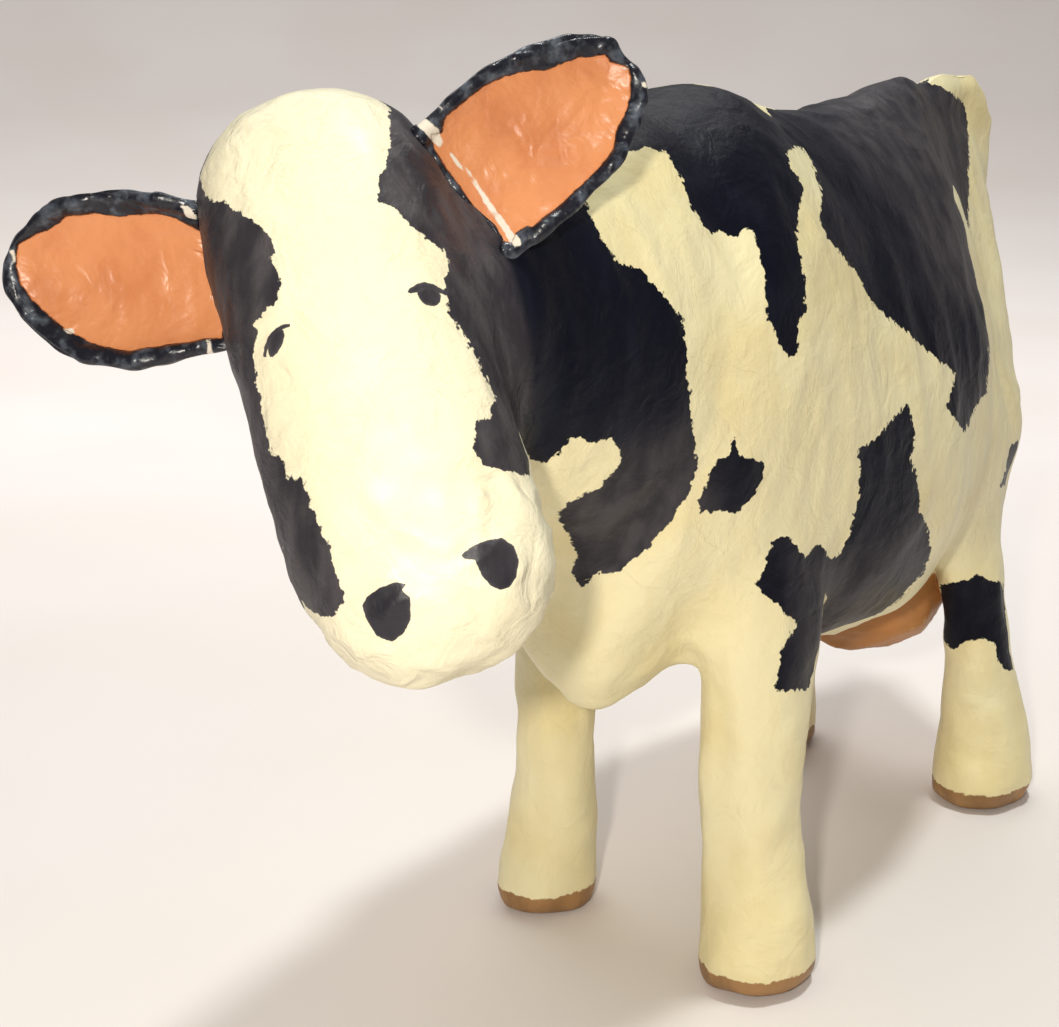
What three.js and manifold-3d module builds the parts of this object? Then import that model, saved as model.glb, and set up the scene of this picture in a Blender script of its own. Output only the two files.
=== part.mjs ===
// A papier-mache dairy cow, standing on its four feet with its head cocked towards one side.
// Millimetres, +Z up. The cow faces -Y, so its left flank is on +X.
// The origin is on the floor, under the middle of the cow's overall box.
//
// The animal is one skin of pasted paper over a bulky core, so it is modelled as one solid: a smooth
// union of a trunk, a neck, a head, four legs, an udder and a tail. The two ears are thin card flaps
// that were stuck on afterwards, and each is a piece of its own.

import * as THREE from "three";
import Module from "manifold-3d";

// Driving dimensions.
const WITHERS_HEIGHT = 350; // floor to the top of the shoulders
const TRUNK_LENGTH = 368; // brisket to rump
const TRUNK_WIDTH = 150; // across the barrel
const BRISKET_REACH = 74; // how far the brisket stands forward of the front feet
const NECK_LENGTH = 170; // deep in the shoulders to the back of the head
const NECK_WIDTH = 100;
const NECK_DEPTH = 130;
const HEAD_LENGTH = 186; // crown to chin
const HEAD_WIDTH = 78; // across the cheeks
const HEAD_DEPTH = 78; // forehead to jaw
const FRONT_STANCE = 106; // between the middles of the front feet
const RIGHT_STEP = [1, 4]; // how far out and back the right front foot stands, against the left one
const HIND_STANCE = 118; // between the middles of the hind feet
const WHEELBASE = 218; // front feet to hind feet
const LEG_WIDTH = 35; // across a front leg at its thinnest
const TAIL_WIDTH = 16;
const EAR_LENGTH = 62; // root to tip
const EAR_WIDTH = 53;
const EAR_THICKNESS = 3;
const EAR_RIM = 5; // thickness of the rolled paper rim
const EAR_CUP = 7; // how far the rims stand forward of the middle
const EAR_RISE = { left: 26.5, right: 20 }; // degrees that each ear points up from straight out
const EAR_GAP = 0.4; // clearance between an ear's root and the head

// Where each ear springs from, in the skull's frame: shares of the head's width, depth and length.
const EAR_ROOT = {
  left: [0.603 * HEAD_WIDTH, -0.04 * HEAD_DEPTH, -0.231 * HEAD_LENGTH],
  right: [-0.564 * HEAD_WIDTH, 0, -0.237 * HEAD_LENGTH],
};

// Pose of the head, in degrees: turned to the cow's left, face tipped up, crown leaning to its right.
const HEAD_YAW = 30;
const HEAD_TIP = 28;
const HEAD_ROLL = 18.5;
// The crown's place, from the floor midway between the front feet.
const CROWN_PLACE = [-32.5, -165.5, WITHERS_HEIGHT - 0.5];

const CELL = 11; // size of a facet of the skin

const black = new THREE.MeshStandardMaterial({ color: 0x1c1b22, roughness: 0.4, metalness: 0 });
const cream = new THREE.MeshStandardMaterial({ color: 0xe9dcb4, roughness: 0.5, metalness: 0 });

// A limb is a form swept along its own Z axis, from a place, turned, and scaled by length, width and
// depth. Its rows are stations: share of the length, middle across (share of the width) and middle
// in depth (share of the depth), half width, half depth, squareness (2 is an oval) and taper, which
// narrows the section towards -Y of the limb.
function limb(frame, [width, depth, length], rows) {
  return { inverse: frame.clone().invert(), width, depth, length, rows };
}

function frameAt(place, ...turns) {
  const frame = new THREE.Matrix4().makeTranslation(...place);
  for (const [axis, degrees] of turns) {
    const about = new THREE.Vector3(axis === "x" ? 1 : 0, axis === "y" ? 1 : 0, axis === "z" ? 1 : 0);
    frame.multiply(new THREE.Matrix4().makeRotationAxis(about, THREE.MathUtils.degToRad(degrees)));
  }
  return frame;
}

// Values of a list of stations at position t, eased smoothly from one station to the next.
function stationAt(stations, t) {
  const last = stations.length - 1;
  if (t <= stations[0][0]) return stations[0];
  if (t >= stations[last][0]) return stations[last];
  let i = 0;
  while (t > stations[i + 1][0]) i++;
  const from = stations[i];
  const to = stations[i + 1];
  const before = stations[Math.max(i - 1, 0)];
  const after = stations[Math.min(i + 2, last)];
  const span = to[0] - from[0];
  const u = (t - from[0]) / span;
  return from.map((value, c) => {
    if (c === 0) return t;
    const start = (to[c] - before[c]) / (to[0] - before[0]);
    const end = (after[c] - value) / (after[0] - from[0]);
    return (
      (2 * u ** 3 - 3 * u ** 2 + 1) * value +
      (u ** 3 - 2 * u ** 2 + u) * span * start +
      (3 * u ** 2 - 2 * u ** 3) * to[c] +
      (u ** 3 - u ** 2) * span * end
    );
  });
}

const scratch = new THREE.Vector3();

function limbDistance(p, { inverse, width, depth, length, rows }) {
  const q = scratch.set(...p).applyMatrix4(inverse);
  const t = q.z / length;
  const [, across, along, halfWidth, halfDepth, squareness, taper] = stationAt(rows, t);
  const y = q.y - along * depth;
  const b = Math.max(halfDepth * depth, 0.5);
  const lean = 1 + taper * Math.min(Math.max(y / b, -1), 1);
  const a = Math.max(halfWidth * width * lean, 0.5);
  const x = q.x - across * width;
  const r = (Math.abs(x / a) ** squareness + Math.abs(y / b) ** squareness) ** (1 / squareness);
  const section = (r - 1) * Math.min(a, b);
  const beyond = Math.max(rows[0][0] - t, t - rows[rows.length - 1][0], 0) * length;
  return beyond > 0 ? Math.hypot(Math.max(section, 0), beyond) : section;
}

// Smooth union of two distances, filleted over a width k.
function blend(a, b, k) {
  const h = Math.max(k - Math.abs(a - b), 0) / k;
  return Math.min(a, b) - h * h * k * 0.25;
}

// The trunk runs backwards from the brisket, so its own Y points down to the belly.
const trunk = limb(
  frameAt([0, -BRISKET_REACH, 0.65 * WITHERS_HEIGHT], ["x", -90]),
  [TRUNK_WIDTH, WITHERS_HEIGHT, TRUNK_LENGTH],
  [
    [0.0, 0, 0.13, 0.1, 0.06, 2.0, 0],
    [0.02, 0, 0.12, 0.2, 0.13, 2.0, 0],
    [0.07, 0, 0.085, 0.3, 0.225, 2.0, -0.4],
    [0.14, 0, 0.02, 0.41, 0.285, 2.0, -0.3],
    [0.22, 0, -0.03, 0.46, 0.3, 2.0, 0],
    [0.35, 0, -0.009, 0.49, 0.319, 2.2, 0.25],
    [0.54, 0, 0.0115, 0.49, 0.3265, 2.2, 0.27],
    [0.7, 0, -0.014, 0.41, 0.326, 2.0, 0.38],
    [0.84, 0, -0.0365, 0.26, 0.3065, 2.0, 0.6],
    [0.93, 0, -0.0775, 0.215, 0.2575, 2.0, 0.8],
    [0.99, 0, -0.12, 0.12, 0.17, 2.0, 0.5],
    [1.01, 0, -0.125, 0.05, 0.085, 2.0, 0.2],
  ],
);

// The neck runs forwards and a little up from deep in the shoulders to the back of the head.
const neck = limb(
  frameAt([0, -10, 0.69 * WITHERS_HEIGHT], ["z", -1], ["x", 71]),
  [NECK_WIDTH, NECK_DEPTH, NECK_LENGTH],
  [
    [-0.25, 0, 0.06, 0.44, 0.5, 2.1, -0.1],
    [0.0, 0, 0.08, 0.54, 0.62, 2.1, -0.1],
    [0.3, 0, 0.07, 0.58, 0.62, 2.1, -0.1],
    [0.6, 0, 0.02, 0.52, 0.5, 2.1, -0.1],
    [0.75, 0, 0, 0.47, 0.43, 2.1, -0.1],
    [0.86, 0, -0.03, 0.45, 0.35, 2.0, 0],
    [0.96, 0, -0.04, 0.32, 0.25, 2.0, 0],
    [1.0, 0, -0.04, 0.15, 0.13, 2.0, 0],
  ],
);

// The skull's frame at the crown: -Y out of the face, +X to the cow's left, +Z up along the head.
const skull = frameAt(CROWN_PLACE, ["z", HEAD_YAW], ["x", -HEAD_TIP], ["y", -HEAD_ROLL]);

// The head hangs down from the crown.
const head = limb(
  skull.clone().multiply(frameAt([0, 0, 0], ["x", 180], ["z", 180])),
  [HEAD_WIDTH, HEAD_DEPTH, HEAD_LENGTH],
  [
    [0.012, 0.03, 0.0, 0.18, 0.17, 2.0, 0],
    [0.035, 0.02, 0.0, 0.31, 0.3, 2.1, 0],
    [0.1, 0.01, 0.0, 0.435, 0.41, 2.2, 0],
    [0.2, 0, 0.0, 0.49, 0.48, 2.3, 0],
    [0.38, 0, 0.0, 0.505, 0.5, 2.3, 0],
    [0.55, 0, 0.0, 0.49, 0.46, 2.3, 0],
    [0.7, 0, 0.0, 0.49, 0.42, 2.3, 0],
    [0.82, -0.015, 0.0, 0.475, 0.4, 2.3, 0],
    [0.92, -0.03, 0.0, 0.4, 0.34, 2.2, 0],
    [0.98, -0.02, 0.0, 0.26, 0.22, 2.0, 0],
    [1.0, 0, 0.0, 0.14, 0.12, 2.0, 0],
  ],
);

// Legs stand on their soles; X is turned outwards by the sign of the side.
const frontLeg = (side, thick, out, back) =>
  limb(
    frameAt([side * (FRONT_STANCE / 2 + out), back, 0]),
    [LEG_WIDTH, LEG_WIDTH, WITHERS_HEIGHT],
    [
      [0.0, 0, -0.06, 0.2 + 0.41 * thick, 0.2 + 0.48 * thick, 2, 0],
      [0.03, 0, -0.05, 0.2 + 0.43 * thick, 0.2 + 0.5 * thick, 2, 0],
      [0.08, side * -0.03, -0.03, 0.2 + 0.4 * thick, 0.2 + 0.44 * thick, 2, 0],
      [0.14, side * -0.1, -0.04, 0.54 * thick, 0.56 * thick, 2, 0],
      [0.22, side * -0.14, -0.06, 0.5 * thick, 0.53 * thick, 2, 0],
      [0.3, side * -0.14, -0.06, 0.53 * thick, 0.58 * thick, 2, 0],
      [0.42, side * -0.12, 0.05, 0.58 * thick, 0.8 * thick, 2, 0],
      [0.6, side * -0.25, 0.3, 0.55, 1.1, 2, 0],
    ],
  );
const hindLeg = (side) =>
  limb(
    frameAt([(side * HIND_STANCE) / 2, WHEELBASE, 0]),
    [LEG_WIDTH, LEG_WIDTH, WITHERS_HEIGHT],
    [
      [0.0, 0, -0.02, 0.64, 0.71, 2, 0],
      [0.03, 0, -0.01, 0.65, 0.73, 2, 0],
      [0.08, 0, 0.03, 0.6, 0.65, 2, 0],
      [0.15, side * -0.06, 0.05, 0.5, 0.56, 2, 0],
      [0.24, side * -0.18, 0.0, 0.39, 0.46, 2, 0],
      [0.32, side * -0.3, -0.05, 0.38, 0.6, 2, 0],
      [0.42, side * -0.5, -0.1, 0.45, 1.0, 2, 0],
      [0.55, side * -0.55, -0.15, 0.55, 1.5, 2, 0],
      [0.66, side * -0.9, -0.3, 0.35, 1.2, 2, 0],
    ],
  );

const share = (values) => values.map((v) => v * WITHERS_HEIGHT);

function ellipsoidDistance(p, centre, radii) {
  const q = [0, 1, 2].map((i) => (p[i] - centre[i]) / radii[i]);
  const k0 = Math.hypot(...q);
  const k1 = Math.hypot(q[0] / radii[0], q[1] / radii[1], q[2] / radii[2]);
  return k1 < 1e-9 ? -Math.min(...radii) : (k0 * (k0 - 1)) / k1;
}

// Distance to a chain of balls joined by cones. Each knot is [x, y, z, radius].
function ropeDistance(p, knots) {
  let best = Infinity;
  for (let i = 0; i + 1 < knots.length; i++) {
    const [ax, ay, az, ar] = knots[i];
    const [bx, by, bz, br] = knots[i + 1];
    const d = [bx - ax, by - ay, bz - az];
    const q = [p[0] - ax, p[1] - ay, p[2] - az];
    const len2 = d[0] ** 2 + d[1] ** 2 + d[2] ** 2;
    const t = Math.min(Math.max((q[0] * d[0] + q[1] * d[1] + q[2] * d[2]) / len2, 0), 1);
    const away = Math.hypot(q[0] - d[0] * t, q[1] - d[1] * t, q[2] - d[2] * t);
    best = Math.min(best, away - (ar + (br - ar) * t));
  }
  return best;
}

const udder = { centre: share([0, 0.58, 0.3]), radii: share([0.1, 0.15, 0.085]) };

// The tail's knots: share of the trunk's length, share of the withers' height and share of its width.
const tail = [
  [0.867, 0.968, 0.5],
  [0.97, 0.967, 0.5],
  [1.02, 0.93, 0.5],
  [1.022, 0.8, 0.5],
  [0.995, 0.6, 0.5],
  [0.957, 0.48, 0.62],
  [0.952, 0.4, 0.62],
].map(([along, up, thick]) => [
  0,
  TRUNK_LENGTH * along - BRISKET_REACH,
  WITHERS_HEIGHT * up,
  TAIL_WIDTH * thick,
]);

const legs = [frontLeg(1, 1, 0, 0), frontLeg(-1, 0.87, ...RIGHT_STEP), hindLeg(1), hindLeg(-1)];

function cowDistance(p) {
  let d = limbDistance(p, trunk);
  d = blend(d, limbDistance(p, neck), 32);
  d = blend(d, limbDistance(p, head), 22);
  for (const leg of legs) d = blend(d, limbDistance(p, leg), 14);
  d = blend(d, ellipsoidDistance(p, udder.centre, udder.radii), 6);
  d = blend(d, ropeDistance(p, tail), 6);
  return Math.max(d, -p[2]);
}

// A closed, evenly faceted skin where the distance is zero: one vertex in each grid cell that the
// surface crosses, pulled onto the surface, and one quad round each grid edge that it crosses.
function skin(distance, low, high, cell) {
  const count = [0, 1, 2].map((i) => Math.ceil((high[i] - low[i]) / cell) + 1);
  const index = (i, j, k) => (i * count[1] + j) * count[2] + k;
  const at = (i, j, k) => [low[0] + i * cell, low[1] + j * cell, low[2] + k * cell];
  const field = new Float32Array(count[0] * count[1] * count[2]);
  for (let i = 0; i < count[0]; i++)
    for (let j = 0; j < count[1]; j++)
      for (let k = 0; k < count[2]; k++) field[index(i, j, k)] = distance(at(i, j, k));

  fillPockets(field, count);
  closeCorners(field, count);

  const corners = [0, 1].flatMap((i) => [0, 1].flatMap((j) => [0, 1].map((k) => [i, j, k])));
  const edges = [];
  for (let a = 0; a < 8; a++)
    for (const bit of [4, 2, 1]) if (!(a & bit)) edges.push([a, a | bit]);

  const vertexOf = new Int32Array(field.length).fill(-1);
  const points = [];
  for (let i = 0; i + 1 < count[0]; i++)
    for (let j = 0; j + 1 < count[1]; j++)
      for (let k = 0; k + 1 < count[2]; k++) {
        const values = corners.map(([a, b, c]) => field[index(i + a, j + b, k + c)]);
        const sum = [0, 0, 0];
        let crossings = 0;
        for (const [a, b] of edges) {
          if (values[a] < 0 === values[b] < 0) continue;
          const t = values[a] / (values[a] - values[b]);
          for (let c = 0; c < 3; c++) sum[c] += corners[a][c] + t * (corners[b][c] - corners[a][c]);
          crossings++;
        }
        if (!crossings) continue;
        vertexOf[index(i, j, k)] = points.length;
        const base = at(i, j, k);
        points.push(base.map((b, c) => b + (sum[c] / crossings) * cell));
      }

  for (const p of points) settle(p, distance, cell);

  const triangles = [];
  const quad = (a, b, c, d) => {
    const far = (u, v) => Math.hypot(...points[u].map((x, n) => x - points[v][n]));
    if (far(a, c) <= far(b, d)) triangles.push(a, b, c, a, c, d);
    else triangles.push(a, b, d, b, c, d);
  };
  for (let i = 1; i + 1 < count[0]; i++)
    for (let j = 1; j + 1 < count[1]; j++)
      for (let k = 1; k + 1 < count[2]; k++) {
        const inside = field[index(i, j, k)] < 0;
        const steps = [
          [index(i + 1, j, k), (a, b) => vertexOf[index(i, j + a, k + b)]],
          [index(i, j + 1, k), (a, b) => vertexOf[index(i + b, j, k + a)]],
          [index(i, j, k + 1), (a, b) => vertexOf[index(i + a, j + b, k)]],
        ];
        for (const [next, cellVertex] of steps) {
          if (inside === field[next] < 0) continue;
          const ring = [cellVertex(-1, -1), cellVertex(0, -1), cellVertex(0, 0), cellVertex(-1, 0)];
          quad(...(inside ? ring : ring.reverse()));
        }
      }
  return { points, triangles };
}

// Makes solid every pocket that has no way out to the edge of the grid.
function fillPockets(field, count) {
  const strides = [count[1] * count[2], count[2], 1];
  const outside = new Uint8Array(field.length);
  const queue = [0];
  outside[0] = 1;
  while (queue.length) {
    const here = queue.pop();
    const place = strides.map((stride, c) => Math.floor(here / stride) % count[c]);
    for (let c = 0; c < 3; c++)
      for (const step of [-1, 1]) {
        const next = here + step * strides[c];
        if (place[c] + step < 0 || place[c] + step >= count[c]) continue;
        if (outside[next] || field[next] < 0) continue;
        outside[next] = 1;
        queue.push(next);
      }
  }
  for (let n = 0; n < field.length; n++) if (!outside[n]) field[n] = Math.min(field[n], -0.01);
}

// Fills in wherever two solid corners touch only across the diagonal of a grid square, which would
// leave an edge that four facets share.
function closeCorners(field, count) {
  const strides = [count[1] * count[2], count[2], 1];
  let changed = true;
  while (changed) {
    changed = false;
    for (const [u, v, w] of [[0, 1, 2], [0, 2, 1], [1, 2, 0]])
      for (let i = 0; i + 1 < count[u]; i++)
        for (let j = 0; j + 1 < count[v]; j++)
          for (let k = 0; k < count[w]; k++) {
            const a = i * strides[u] + j * strides[v] + k * strides[w];
            const [b, c, d] = [a + strides[u], a + strides[v], a + strides[u] + strides[v]];
            const solid = [a, b, c, d].map((n) => field[n] < 0);
            if (solid[0] !== solid[3] || solid[1] !== solid[2] || solid[0] === solid[1]) continue;
            const [open, other] = solid[0] ? [b, c] : [a, d];
            field[field[open] < field[other] ? open : other] = -0.01;
            changed = true;
          }
  }
}

// Moves a point onto the zero surface, by a few short steps along the slope of the distance.
function settle(p, distance, cell) {
  const reach = cell * 0.05;
  const start = [...p];
  for (let step = 0; step < 4; step++) {
    const here = distance(p);
    const slope = [0, 1, 2].map((c) => {
      const q = [...p];
      q[c] += reach;
      return (distance(q) - here) / reach;
    });
    const steep = Math.max(slope[0] ** 2 + slope[1] ** 2 + slope[2] ** 2, 0.05);
    for (let c = 0; c < 3; c++) {
      p[c] -= (here * slope[c]) / steep;
      p[c] = Math.min(Math.max(p[c], start[c] - cell * 0.45), start[c] + cell * 0.45);
    }
  }
}

// The ears' outlines: half width, as a share of half the ear's width, at shares of its length. They
// were cut by hand, and the left one is narrower and ends more bluntly.
const EAR_OUTLINE = {
  left: [
    [-0.22, 0.84],
    [0, 0.9],
    [0.3, 0.92],
    [0.55, 0.88],
    [0.75, 0.74],
    [0.9, 0.56],
    [0.97, 0.42],
    [1, 0.28],
  ],
  right: [
    [-0.22, 0.8],
    [0, 0.88],
    [0.3, 1],
    [0.55, 0.97],
    [0.75, 0.8],
    [0.9, 0.52],
    [0.97, 0.3],
    [1, 0.12],
  ],
};
const EAR_STEPS = [-0.22, -0.06, 0.1, 0.25, 0.4, 0.55, 0.68, 0.79, 0.88, 0.94, 0.98, 1];
const RIM_STEPS = [1, 0.96, 0.88, 0.76, 0.45];

// Half the thickness at a distance in from the edge: a round bead that runs down to the thin middle.
function earHalfThickness(inwards) {
  const bead = EAR_RIM / 2;
  const e = Math.max(inwards, 0.15);
  if (e < bead) return Math.sqrt(bead ** 2 - (bead - e) ** 2);
  const u = Math.min((e - bead) / 3, 1);
  return bead + (EAR_THICKNESS / 2 - bead) * u * u * (3 - 2 * u);
}

// A cupped leaf, as rings round its section from the root to the tip. Side is 1 for the left ear.
function earGeometry(side, rise, root, outline) {
  const slope = THREE.MathUtils.degToRad(rise);
  const out = new THREE.Vector3(side * Math.cos(slope), 0.1, Math.sin(slope)).normalize();
  const up = new THREE.Vector3(side * -0.3, -0.38, 0.87);
  up.addScaledVector(out, -up.dot(out)).normalize();
  const front = new THREE.Vector3().crossVectors(up, out).multiplyScalar(side);
  if (front.y > 0) front.negate();
  const across = [...RIM_STEPS, 0, ...RIM_STEPS.map((w) => -w).reverse()];
  const rings = EAR_STEPS.map((share) => {
    const half = (stationAt(outline, share)[1] * EAR_WIDTH) / 2;
    const pointAt = (w, face) => {
      const inwards = Math.min((1 - Math.abs(w)) * half, (1 - share) * EAR_LENGTH);
      const lift = EAR_CUP * (w * w * (half / (EAR_WIDTH / 2)) ** 2 + 0.6 * share * share - 0.5);
      return root
        .clone()
        .addScaledVector(out, share * EAR_LENGTH)
        .addScaledVector(up, w * half)
        .addScaledVector(front, lift + face * earHalfThickness(inwards));
    };
    const frontRow = across.map((w) => pointAt(w, 1));
    const backRow = across.slice(1, -1).reverse().map((w) => pointAt(w, -1));
    return [...frontRow, ...backRow];
  });
  const size = rings[0].length;
  const points = rings.flat().map((v) => v.applyMatrix4(skull).toArray());
  const triangles = [];
  for (let r = 0; r + 1 < rings.length; r++)
    for (let n = 0; n < size; n++) {
      const [a, b] = [r * size + n, r * size + ((n + 1) % size)];
      triangles.push(a, a + size, b, b, a + size, b + size);
    }
  // Both ends are closed by strips between the front and the back rows.
  const wide = across.length;
  const backOf = (n) => (n === 0 || n === wide - 1 ? n : size - n);
  for (const [start, flip] of [[0, false], [(rings.length - 1) * size, true]])
    for (let n = 0; n + 1 < wide; n++) {
      const corners = [n, n + 1, backOf(n + 1), backOf(n)].map((c) => start + c);
      for (const [a, b, c] of [[corners[0], corners[1], corners[2]], [corners[0], corners[2], corners[3]]])
        if (a !== b && b !== c && a !== c) triangles.push(...(flip ? [a, c, b] : [a, b, c]));
    }
  return { points, triangles: facingOut(points, triangles) };
}

// Turns every triangle over if the shell is inside out.
function facingOut(points, triangles) {
  let volume = 0;
  for (let n = 0; n < triangles.length; n += 3) {
    const [a, b, c] = [0, 1, 2].map((k) => new THREE.Vector3(...points[triangles[n + k]]));
    volume += a.dot(b.cross(c));
  }
  if (volume > 0) return triangles;
  const turned = [];
  for (let n = 0; n < triangles.length; n += 3) turned.push(triangles[n], triangles[n + 2], triangles[n + 1]);
  return turned;
}

// The same shell with every point moved outwards along its normal.
function grown(shell, distance) {
  const geometry = geometryOf(shell);
  geometry.computeVertexNormals();
  const normals = geometry.attributes.normal;
  const points = shell.points.map((p, n) => [
    p[0] + normals.getX(n) * distance,
    p[1] + normals.getY(n) * distance,
    p[2] + normals.getZ(n) * distance,
  ]);
  return { points, triangles: shell.triangles };
}

const wasm = await Module();
wasm.setup();

function solidOf({ points, triangles }) {
  const vertProperties = new Float32Array(points.flat());
  return new wasm.Manifold(new wasm.Mesh({ numProp: 3, vertProperties, triVerts: new Uint32Array(triangles) }));
}

function shellOf(solid) {
  const mesh = solid.getMesh();
  const points = [];
  for (let n = 0; n < mesh.vertProperties.length; n += mesh.numProp)
    points.push([...mesh.vertProperties.slice(n, n + 3)]);
  return { points, triangles: [...mesh.triVerts] };
}

function geometryOf({ points, triangles }) {
  return new THREE.BufferGeometry()
    .setAttribute("position", new THREE.BufferAttribute(new Float32Array(points.flat()), 3))
    .setIndex(triangles);
}

// The space that the skin is looked for in.
const low = [-TRUNK_WIDTH, CROWN_PLACE[1] - 0.9 * HEAD_LENGTH, -1.5 * CELL];
const high = [TRUNK_WIDTH, 1.15 * TRUNK_LENGTH - BRISKET_REACH, 1.15 * WITHERS_HEIGHT];
const body = skin(cowDistance, low, high, CELL);
const room = solidOf(grown(body, EAR_GAP));

const cow = new THREE.Group();
function addPiece(name, shell, material) {
  const mesh = new THREE.Mesh(geometryOf(shell), material);
  mesh.name = name;
  cow.add(mesh);
}

addPiece("cow_body", body, cream);
for (const [hand, side] of [["left", 1], ["right", -1]]) {
  const root = new THREE.Vector3(...EAR_ROOT[hand]);
  const leaf = solidOf(earGeometry(side, EAR_RISE[hand], root, EAR_OUTLINE[hand]));
  addPiece(`${hand}_ear`, shellOf(leaf.subtract(room)), black);
}

// The origin goes under the middle of the whole cow.
const box = new THREE.Box3().setFromObject(cow, true);
const middle = box.getCenter(new THREE.Vector3());
cow.position.set(-middle.x, -middle.y, -box.min.z);

export default cow;
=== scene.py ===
"""A standing papier-mache dairy cow: pasted paper painted cream and black, with two leafy ears."""

import math

import bpy
import numpy as np
from mathutils import Matrix, noise


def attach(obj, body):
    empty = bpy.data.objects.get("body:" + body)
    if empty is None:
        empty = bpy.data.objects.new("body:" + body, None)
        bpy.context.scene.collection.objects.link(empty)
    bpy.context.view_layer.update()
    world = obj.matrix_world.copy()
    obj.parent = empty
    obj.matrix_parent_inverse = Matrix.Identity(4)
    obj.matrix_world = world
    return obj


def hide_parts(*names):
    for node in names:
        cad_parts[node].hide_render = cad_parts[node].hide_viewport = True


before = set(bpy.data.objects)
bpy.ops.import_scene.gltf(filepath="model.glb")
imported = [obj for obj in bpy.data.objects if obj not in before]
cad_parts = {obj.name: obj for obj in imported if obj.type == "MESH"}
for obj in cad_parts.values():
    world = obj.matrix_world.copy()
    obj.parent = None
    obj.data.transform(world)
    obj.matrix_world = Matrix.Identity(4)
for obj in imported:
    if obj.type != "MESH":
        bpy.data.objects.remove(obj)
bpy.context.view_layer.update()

bl_info = {
    "name": "Papier-mache Cow",
    "version": (1, 0, 0),
    "blender": (4, 5, 0),
    "location": "View3D > Sidebar > Cow",
    "description": "Dresses a standing papier-mache cow in pasted paper and paint",
    "category": "Add Mesh",
}

MM = 0.001

# The floor point midway between the front feet, which the camera and the head are placed from.
FRONT_FEET = np.array([9.222, -38.217, 0.0]) * MM

# The camera, from that point: where it stands, how far it is turned and tipped down, and the focal
# length in pixels of a picture 1059 pixels wide and 1027 high.
CAMERA_PLACE = FRONT_FEET + np.array([362, -590, 380]) * MM
CAMERA_TURN = math.radians(35.7)
CAMERA_TIP = math.radians(15.7)
PICTURE = (1059, 1027)
FOCAL = 1800
SENSOR = 36

# The head hangs from its crown, turned, tipped and rolled.
CROWN = FRONT_FEET + np.array([-32.5, -165.5, 349.5]) * MM
HEAD_TURNS = (("Z", 30), ("X", -28), ("Y", -18.5))
HEAD_WIDTH = 78 * MM

# The udder: its middle, its half sizes, and how far past them its paint reaches.
UDDER_PLACE = FRONT_FEET + np.array([0, 203, 105]) * MM
UDDER_SIZE = np.array([35, 52.5, 29.75]) * MM
UDDER_PAINT = 1.12

# The deep folds on the left cheek, in the head's own frame.
CHEEK_FOLDS = np.array([24, -22, -140]) * MM
CHEEK_REACH = np.array([14, 20, 18]) * MM

# The cream strip down the rump and the tail: half its width, and where it starts.
TAIL_STRIP = 8.5 * MM
TAIL_START = 243 * MM

# Below this height the outlines painted as seen keep to the cow's left legs.
LEG_TOP = 170 * MM

# The depth given to a place that no outline can reach, and the room round the eyes and nostrils, in
# pixels, where the skin is cut finer.
FAR_OUTSIDE = -10 * MM
MARK_MARGIN = 9

# The rolled rim of the ears: half its width and how high it stands.
RIM_REACH = 3 * MM
RIM_RISE = 1.2 * MM

# Where the lights stand and what they shine at. The flash is given from the camera: to its right, up
# and forward.
FLASH_PLACE = (-0.08, 0.05, -0.12)
LAMP_PLACE = (0.25, 0.12, 1.8)
WASH_PLACE = (-0.9, 0.9, 1.6)
COW_MIDDLE = (0, -0.05, 0.2)
FAR_WALL = (-1.5, 1.6, 0)
WORLD_COLOUR = (0.95, 0.92, 0.9)

# The floor: the radius of its flat part, and the radius and the rise of each ring beyond it.
FLOOR_RADIUS = 1.6
FLOOR_RINGS = ((2.1, 0.02), (2.6, 0.06), (3.1, 0.12), (3.5, 0.2), (3.8, 0.3), (4.0, 0.4))

# Outlines of the painted patches, in pixels of the picture, as the camera sees them. Those of the
# head run on past its edge, and those of the body run on behind the head.
HEAD_PATCHES = {
    "right_cheek": [
        (180, 170), (201, 180), (205, 198), (222, 202), (231, 207), (244, 214), (259, 225), (267, 231),
        (276, 248), (268, 255), (274, 264), (281, 280), (279, 293), (269, 308), (254, 323), (256, 333),
        (254, 359), (255, 380), (261, 397), (266, 425), (270, 451), (285, 464), (289, 481), (295, 479),
        (304, 474), (306, 489), (318, 523), (333, 556), (335, 577), (344, 599), (337, 611), (325, 620),
        (300, 606), (270, 520), (240, 440), (200, 370), (170, 300),
    ],
    "left_cheek": [
        (390, 100), (390, 119), (391, 142), (379, 182), (379, 201), (396, 209), (413, 224), (428, 239),
        (440, 245), (449, 262), (444, 280), (446, 295), (450, 318), (466, 337), (472, 349), (481, 367),
        (492, 390), (496, 401), (489, 411), (489, 417), (476, 421), (475, 430), (475, 441), (478, 453),
        (485, 466), (513, 473), (532, 476), (556, 478), (600, 420), (600, 200), (470, 90),
    ],
}
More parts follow.
